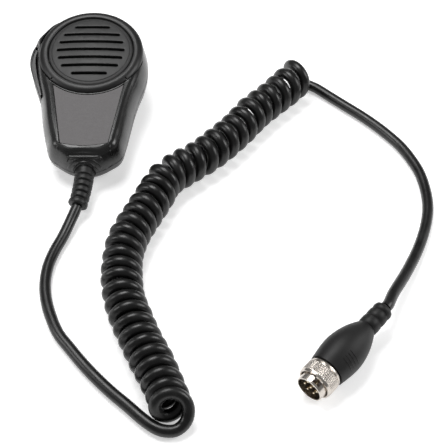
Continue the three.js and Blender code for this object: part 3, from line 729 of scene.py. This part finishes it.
def rear_case():
    """The rear shell: hollow, with posts for the case screws, the board, the clamp and the pin."""
    start = PARTING - GAP
    profile = spline(REAR_PROFILE, 5)
    shell = lofted([depth_ring(p.x, p.y) for p in profile])
    hollow = lofted([outline_ring(WALL, lambda y: start + 1), depth_ring(WALL + 1.4, 0.46),
                     depth_ring(WALL + 5.6, 0.84)])
    shape = cut(shell, hollow)
    posts = [post(3.5, x, y, rear_height(y) + 2.2, start, 24) for x, y in CASE_SCREWS]
    posts += [post(2.5, x, y, rear_height(y) + 1.5, -16.8, 20) for x, y in BOARD_POSTS]
    x, y = CLAMP_SCREW
    posts.append(post(2.6, x, y, rear_height(y) + 1, CORD_HEIGHT + 2.4, 20))
    posts.append(post(2.4, *PTT_PIVOT, -22, KEY_BOTTOM - GAP, 20))
    shape = join(shape, *posts)
    holes = [post(SHAFT_RADIUS, x, y, BELOW_CASE, start + 1, 20) for x, y in CASE_SCREWS]
    holes += [post(COUNTERBORE_RADIUS, x, y, BELOW_CASE, rear_height(y) + COUNTERBORE_DEPTH, 32)
              for x, y in CASE_SCREWS]
    holes += [post(SMALL_HOLE, x, y, -22.5, -16, 16) for x, y in BOARD_POSTS]
    holes += [post(SMALL_HOLE, *CLAMP_SCREW, -21, -9, 16), post(SMALL_HOLE, *PTT_PIVOT, -20, -17, 16)]
    holes += [post(1.9, 0, BUTTON_Y, BELOW_CASE, -20, 20), talk_slot(), cord_tunnel()]
    return bevelled(cut(shape, *holes), EDGE_ROUND, 2, 40)


# ---------------------------------------------------------------- bezel, grille and label
GRILLE_RADIUS = 21.9
SLOT_PITCH = 5.1
SLOT_WIDTH = 1.7
SLOT_HALF_LENGTHS = [9.3, 14.8, 16.8, 17.8, 16.8, 14.8, 9.3]
DOME = spline([(0, 1.05), (8, 0.85), (15, 0.35), (20.6, -0.3), (21.9, -0.7)], 6)
DOME_FLOOR = [(0, -1.2), (9, -1.5), (17, -2.2), (20, -3.7), (21.9, -3.7)]
# A fine engraved ring near the disc's rim.
RIM_LINE, RIM_LINE_DEPTH, RIM_LINE_WIDTH = 20.4, 0.28, 0.14


def dome_height(x, y):
    radius = math.hypot(x, y)
    height = between([(p.x, p.y) for p in DOME], radius)
    return height - RIM_LINE_DEPTH * math.exp(-((radius - RIM_LINE) / RIM_LINE_WIDTH) ** 2)


def dome_floor(x, y):
    return between(DOME_FLOOR, math.hypot(x, y))


def slot_outline(half_length, y):
    """A slot's edge with round ends, with points along it for the dome's curve."""
    end, points = SLOT_WIDTH / 2, []
    straight = half_length - end
    for i in range(33):
        points.append((-straight + 2 * straight * i / 32, y - end))
    for i in range(1, 8):
        angle = -math.pi / 2 + math.pi * i / 8
        points.append((straight + end * math.cos(angle), y + end * math.sin(angle)))
    for i in range(33):
        points.append((straight - 2 * straight * i / 32, y + end))
    for i in range(1, 8):
        angle = math.pi / 2 + math.pi * i / 8
        points.append((-straight + end * math.cos(angle), y + end * math.sin(angle)))
    return points


def slot_height(index):
    """The place of a slot's middle along y; the slots run from the head's top downwards."""
    return (len(SLOT_HALF_LENGTHS) // 2 - index) * SLOT_PITCH


def near_slot(x, y):
    return any(abs(y - slot_height(i)) < 1.15 and abs(x) < half + 0.3
               for i, half in enumerate(SLOT_HALF_LENGTHS))


def grille():
    """A domed disc with seven slots."""
    sides = 160
    edge = [(GRILLE_RADIUS * math.cos(2 * math.pi * i / sides),
             GRILLE_RADIUS * math.sin(2 * math.pi * i / sides)) for i in range(sides)]
    holes = [slot_outline(half, slot_height(i)) for i, half in enumerate(SLOT_HALF_LENGTHS)]
    inner = []
    rings = [2, 4, 6, 8, 10, 12, 14, 16, 17.5, 19, 19.8, 20.05, 20.2, 20.3, 20.4, 20.5, 20.6,
             20.75, 21.0, 21.5]
    for radius in rings:
        count = 160 if radius > 19 else max(int(radius * 4), 8)
        for i in range(count):
            angle = 2 * math.pi * (i + 0.5) / count
            x, y = radius * math.cos(angle), radius * math.sin(angle)
            if not near_slot(x, y):
                inner.append((x, y))
    mesh = sheet_solid(edge, holes, inner, dome_height, dome_floor)
    return bevelled(mesh, 0.12, 2, 50)


def bezel():
    """The collar round the grille, with a small notch above each side of the label."""
    outer = [(27.2, -3.2), (27.2, -2.2), (26.6, -1.1), (25.4, -0.2), (24.0, 0.2), (22.8, 0.1)]
    crown = [(p.x, p.y) for p in spline(outer, 6)]
    profile = [(22.2, -3.7), (26.7, -3.7)] + crown + [(22.45, -0.05), (22.2, -0.4), (22.2, -3.7)]
    notches = [moved(box(25.6, 29, -0.4, 0.4, -1.5, 2), Matrix.Rotation(math.radians(a), 4, "Z"))
               for a in (-43, -137)]
    return cut(turned(profile, 160), *notches)


def add_head():
    piece("front_shell", front_case(), MIC, CASE, "case_black", "front_case")
    piece("rear_shell", rear_case(), MIC, REAR_CASE, "case_black", "rear_case")
    piece("collar_ring", bezel(), MIC, COLLAR, "case_black", "grille_bezel", sharp=40)
    piece("grille_disc", grille(), MIC, GRILLE, "grille_charcoal", "grille", sharp=50)
    label = bevelled(prism(label_outline(0), LABEL_BOTTOM, LABEL_TOP), 0.08, 1)
    piece("panel_label", label, MIC, LABEL, "label_grey", "label_plate")


# ---------------------------------------------------------------- talk bar
def talk_bar():
    """A bar with a lengthwise groove in its top, an eye round its pin and a finger inside."""
    outer = spline([(-28.8, 8.3), (-30.5, 6.2), (-31.8, 1.5), (-32.1, -4), (-30.9, -10),
                    (-28.9, -16), (-25.6, -25.2)], 8)
    inner = spline([(-24.2, -24.6), (-26.0, -18), (-28.2, -9), (-29.2, 0), (-27.4, 8.3)], 8)
    outline = [(p.x, p.y) for p in outer] + [(-24.6, -26.0)] + [(p.x, p.y) for p in inner]
    bar = bevelled(prism(outline, KEY_BOTTOM, KEY_TOP), 0.45, 3, 40)
    groove = [(p.x + 0.95, p.y) for p in outer[6:-8]]
    groove += [(p.x + 1.75, p.y) for p in reversed(outer[6:-8])]
    bar = cut(bar, prism(groove, KEY_TOP - 0.7, KEY_TOP + 0.4))
    eye_top = -9.9
    finger = box(-27.5, -22.4, -18, -16, -13, -10.4)
    bar = join(bar, post(2.1, *PTT_PIVOT, KEY_BOTTOM, eye_top, 32), finger)
    pin_hole = post(SMALL_HOLE, *PTT_PIVOT, -20, -3, 24)
    return cut(bar, pin_hole, post(2.7, *PTT_PIVOT, eye_top, -3, 32))


# ---------------------------------------------------------------- fastenings
def cross_recess(z0, z1):
    """The two bars of a cross-head recess."""
    long, short = 1.3, 0.3
    return [box(-long, long, -short, short, z0, z1), box(-short, short, -long, long, z0, z1)]


def add_fastenings():
    """The case screws in their counterbores, and the hang-up button with its screw."""
    for i, (x, y) in enumerate(CASE_SCREWS):
        seat = rear_height(y) + COUNTERBORE_DEPTH - GAP
        body = turned([(0, seat - 1.9), (2.1, seat - 1.9), (2.5, seat - 1.7), (2.8, seat - 1.2),
                       (2.8, seat), (1.35, seat), (1.35, -7.4), (0, -7.0)], 40)
        body = cut(body, *cross_recess(seat - 3, seat - 0.9))
        place = MIC @ Matrix.Translation((x, y, 0))
        piece(f"case_fixing_{i + 1}", body, place, STEEL, "screw_steel", f"case_screw_{i + 1}")
    button = turned([(1.9, -0.3), (4.8, -0.3), (4.65, -1.4), (4.6, -2.6), (7.2, -2.8), (7.5, -2.95),
                     (7.6, -3.2), (7.6, -4.2), (7.5, -4.5), (7.2, -4.62), (3.4, -4.62),
                     (3.3, -2.9), (1.9, -2.7), (1.9, -0.3)], 72)
    piece("hang_knob", button, REAR, NICKEL, "button_nickel", "hang_button")
    screw = turned([(0, -4.6), (2.5, -4.5), (2.85, -4.35), (3, -4.1), (3, -3.3), (1.5, -3.3),
                    (1.5, 7.6), (0, 7.8)], 40)
    piece("hang_knob_screw", cut(screw, *cross_recess(-5.5, -3.7)), REAR, STEEL, "screw_steel",
          "hang_button_screw")


# ---------------------------------------------------------------- strain relief
RELIEF_RIBS = 5
# Shares of the sleeve's length at which its flange ends, its ribs begin and its collar begins.
FLANGE_END, RIBS_START, COLLAR_START = 0.072, 0.25, 0.9


def relief_radius(share):
    """The sleeve's radius along its length: a flange, a neck, ribs and a rounded collar."""
    if share < FLANGE_END:
        return 6.4
    if share > COLLAR_START:
        end = (share - COLLAR_START) / (1 - COLLAR_START)
        return 4.15 + 0.75 * math.sqrt(max(1 - (2 * end - 1) ** 4, 0))
    neck = 5.1 - 0.45 * share
    if share < RIBS_START:
        return neck
    rib = (share - RIBS_START) / (COLLAR_START - RIBS_START) * RELIEF_RIBS
    dip = math.exp(-(((rib % 1) - 0.8) / 0.14) ** 2)
    return neck - 0.75 * dip


def strain_relief():
    """A ribbed sleeve that bends slightly with the cord."""
    a, b = Vector((0, -62.6, CORD_HEIGHT)), Vector((0, -78, CORD_HEIGHT))
    c = Vector((-2.6, -87.2, CORD_HEIGHT - 0.6))
    count = 150
    path = [a * (1 - t) ** 2 + b * 2 * t * (1 - t) + c * t * t
            for t in (i / count for i in range(count + 1))]
    lengths = lengths_along(path)
    radii = [relief_radius(length / lengths[-1]) for length in lengths]
    return swept(path, radii)


# ---------------------------------------------------------------- plug
RING_START = 42.2
RING_END = 50.6
PLUG_LENGTH = 54.0
BARREL_RADIUS = 6.5
RING_RADIUS = 8.3
PIN_CIRCLE = 3.3
BORE_RADIUS = 5.85
INSERT_FRONT = PLUG_LENGTH - 4.4
KNURLS = 56
KNURL_PITCH = 0.9
KNURL_DEPTH = 0.3


def plug_boot():
    """The moulded boot: a neck with three ribs and a swelling body."""
    neck = [(0, 0), (3.5, 0), (4.3, 0.6), (4.6, 1.8), (4.5, 3.0), (4.0, 3.6), (4.1, 4.0),
            (4.6, 4.5), (4.7, 6.1), (4.6, 7.7), (4.1, 8.3), (4.2, 8.7), (4.7, 9.2), (4.8, 11.0),
            (4.7, 12.8), (4.2, 13.4)]
    body = [(4.8, 14.2), (6.2, 17.0), (7.6, 20.4), (8.8, 24.6), (9.5, 29.0), (9.6, 32.0),
            (9.3, 36.0), (8.7, 40.0), (8.4, RING_START - GAP)]
    shoulder = [(p.x, p.y) for p in spline(body, 6)]
    return turned(neck + shoulder + [(0, RING_START - GAP)], 96)


def grip_lines():
    """Short raised lines across the boot's upper side."""
    lines = []
    for station in (31.5, 33.1, 34.7, 36.3):
        radius = between([(29, 9.5), (32, 9.6), (36, 9.3), (40, 8.7)], station) + 0.02
        path = [Vector((radius * math.cos(a), radius * math.sin(a), station))
                for a in (math.radians(15 + 4 * i) for i in range(13))]
        lines.append(tube(path, 0.22, 8))
    return lines


def knurled_ring():
    """A coupling ring with a smooth band, a groove and a diamond knurl round its middle."""
    around, along = 512, 44
    start, end = RING_START + 2.2, RING_END - 1.5
    profile = [(6.9, RING_START), (7.8, RING_START), (7.9, RING_START + 0.1),
               (7.9, RING_START + 1.3), (7.6, RING_START + 1.5), (7.6, RING_START + 1.8),
               (RING_RADIUS - 0.2, RING_START + 2.0)]
    profile += [(None, start + (end - start) * i / along) for i in range(along + 1)]
    profile += [(RING_RADIUS - 0.12, RING_END - 1.3), (RING_RADIUS - 0.1, RING_END - 0.8),
                (7.9, RING_END), (7.3, RING_END), (6.9, RING_END - 0.6), (6.9, RING_START)]
    rows = profile[:-1]
    points, faces = [], []
    for radius, height in rows:
        for i in range(around):
            angle = 2 * math.pi * i / around
            size = radius
            if radius is None:
                turn = KNURLS * i / around
                rise = (height - start) / KNURL_PITCH
                peak = (math.cos(2 * math.pi * turn) + math.cos(2 * math.pi * rise)) / 4
                size = RING_RADIUS + KNURL_DEPTH * (peak - 0.5)
            points.append((size * math.cos(angle), size * math.sin(angle), height))
    for row in range(len(rows)):
        low, high = row * around, (row + 1) % len(rows) * around
        faces += [(low + i, low + (i + 1) % around, high + (i + 1) % around, high + i)
                  for i in range(around)]
    return solid(points, faces)


def plug_barrel():
    """The plug's metal shell, with its keyway."""
    shell = turned([(BORE_RADIUS, RING_START), (BARREL_RADIUS, RING_START),
                    (BARREL_RADIUS, PLUG_LENGTH - 0.3), (BARREL_RADIUS - 0.1, PLUG_LENGTH - 0.08),
                    (BARREL_RADIUS - 0.25, PLUG_LENGTH), (BORE_RADIUS, PLUG_LENGTH),
                    (BORE_RADIUS, RING_START)], 96)
    window = box(-1.9, 1.9, 4.8, 8, RING_END - 0.4, PLUG_LENGTH - 0.9)
    return cut(shell, moved(window, Matrix.Rotation(math.radians(-24), 4, "Z")))


def add_plug():
    """The plug's pieces: one contact in the middle of the insert and six round it."""
    angles = [math.pi * i / 3 for i in range(6)]
    spots = [(0, 0)] + [(PIN_CIRCLE * math.cos(a), PIN_CIRCLE * math.sin(a)) for a in angles]
    piece("plug_sleeve", join(plug_boot(), *grip_lines()), PLUG, OVERMOULD, "relief_rubber",
          "plug_boot", sharp=40)
    piece("knurled_ring", knurled_ring(), PLUG, NICKEL, "plug_nickel", "coupling_ring",
          body="coupling_ring", sharp=50)
    piece("plug_barrel", plug_barrel(), PLUG, NICKEL, "plug_nickel", "plug_shell")
    pockets = [post(0.8, x, y, INSERT_FRONT - 2.6, INSERT_FRONT + 1, 20) for x, y in spots]
    insert = cut(post(5.5, 0, 0, RING_START, INSERT_FRONT, 72), *pockets)
    piece("plug_insert", insert, PLUG, BROWN, "insulator_brown", "plug_insulator")
    root, tip = INSERT_FRONT - 2.3, PLUG_LENGTH - 1.0
    for i, (x, y) in enumerate(spots):
        pin = turned([(0, root), (0.5, root), (0.5, tip - 0.4), (0.42, tip - 0.15),
                      (0.22, tip - 0.02), (0, tip)], 24)
        place = PLUG @ Matrix.Translation((x, y, 0))
        piece(f"contact_{i + 1}", pin, place, GOLD, "pin_gold", f"plug_pin_{i + 1}")


# ---------------------------------------------------------------- carried-over CAD nodes
INNER = {
    CASE: ["talk_bar_pin"], PALE: ["capsule_boot", "cord_terminal", "switch_plunger"],
    FELT: ["mic_capsule"], BOARD: ["circuit_board"], SLEEVE: ["board_capacitor"],
    SWITCH: ["microswitch"], JACKET: ["inner_lead"],
    STEEL: ["board_screw_1", "board_screw_2", "talk_bar_spring", "hang_button_nut", "cord_clamp",
            "clamp_screw"],
}


def dress_inner_nodes():
    """Gives the pieces inside the case, which keep their CAD shapes, their materials."""
    for material, names in INNER.items():
        for name in names:
            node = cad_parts[name]
            if not node.material_slots:
                node.data.materials.append(material)
            for slot in node.material_slots:
                slot.material = material


# ---------------------------------------------------------------- stage
def add_stage():
    """A plain pale table just under the lowest point of the object."""
    height = CAD_BOX[0][2] - 0.0002
    reach = 3
    points = [(x * reach, y * reach, height) for x, y in ((-1, -1), (1, -1), (1, 1), (-1, 1))]
    mesh = bpy.data.meshes.new("floor")
    mesh.from_pydata(points, [], [(0, 1, 2, 3)])
    mesh.materials.append(FLOOR)
    floor = bpy.data.objects.new("floor", mesh)
    bpy.context.scene.collection.objects.link(floor)


def add_light(name, place, target, size, power):
    """A soft rectangular light that faces its target."""
    data = bpy.data.lights.new(name, "AREA")
    data.shape = "RECTANGLE"
    data.size, data.size_y = size
    data.energy = power
    light = bpy.data.objects.new(name, data)
    light.location = place
    heading = Vector(target) - Vector(place)
    light.rotation_euler = heading.to_track_quat("-Z", "Y").to_euler()
    bpy.context.scene.collection.objects.link(light)


def add_lights():
    """A large soft light from above, a weaker one on each side, and a dim white sky."""
    scene = bpy.context.scene
    scene.view_settings.view_transform = "Standard"
    world = bpy.data.worlds.new("studio")
    world.use_nodes = True
    sky = world.node_tree.nodes["Background"]
    sky.inputs["Color"].default_value = (1, 1, 1, 1)
    sky.inputs["Strength"].default_value = 0.22
    scene.world = world
    middle = (0.07, -0.07, 0)
    add_light("key_light", (-0.12, 0.2, 0.85), middle, (0.55, 0.4), 6.4)
    add_light("right_light", (0.85, 0.0, 0.5), middle, (0.4, 0.5), 4)
    add_light("left_light", (-0.8, -0.1, 0.45), middle, (0.2, 0.5), 2)


cord, cord_exit, cord_length = add_cord(JACKET)
add_head()
piece("talk_key", talk_bar(), MIC, KEY, "talk_bar_black", "talk_bar", body="talk_bar", sharp=40)
add_fastenings()
sleeve = piece("relief_sleeve", strain_relief(), MIC, RELIEF, "relief_rubber", "strain_relief",
               sharp=45)
add_plug()
dress_inner_nodes()
add_stage()
add_lights()
plug_pieces = ["plug_sleeve", "knurled_ring", "plug_barrel", "plug_insert"]
plug_pieces += [f"contact_{i + 1}" for i in range(7)]
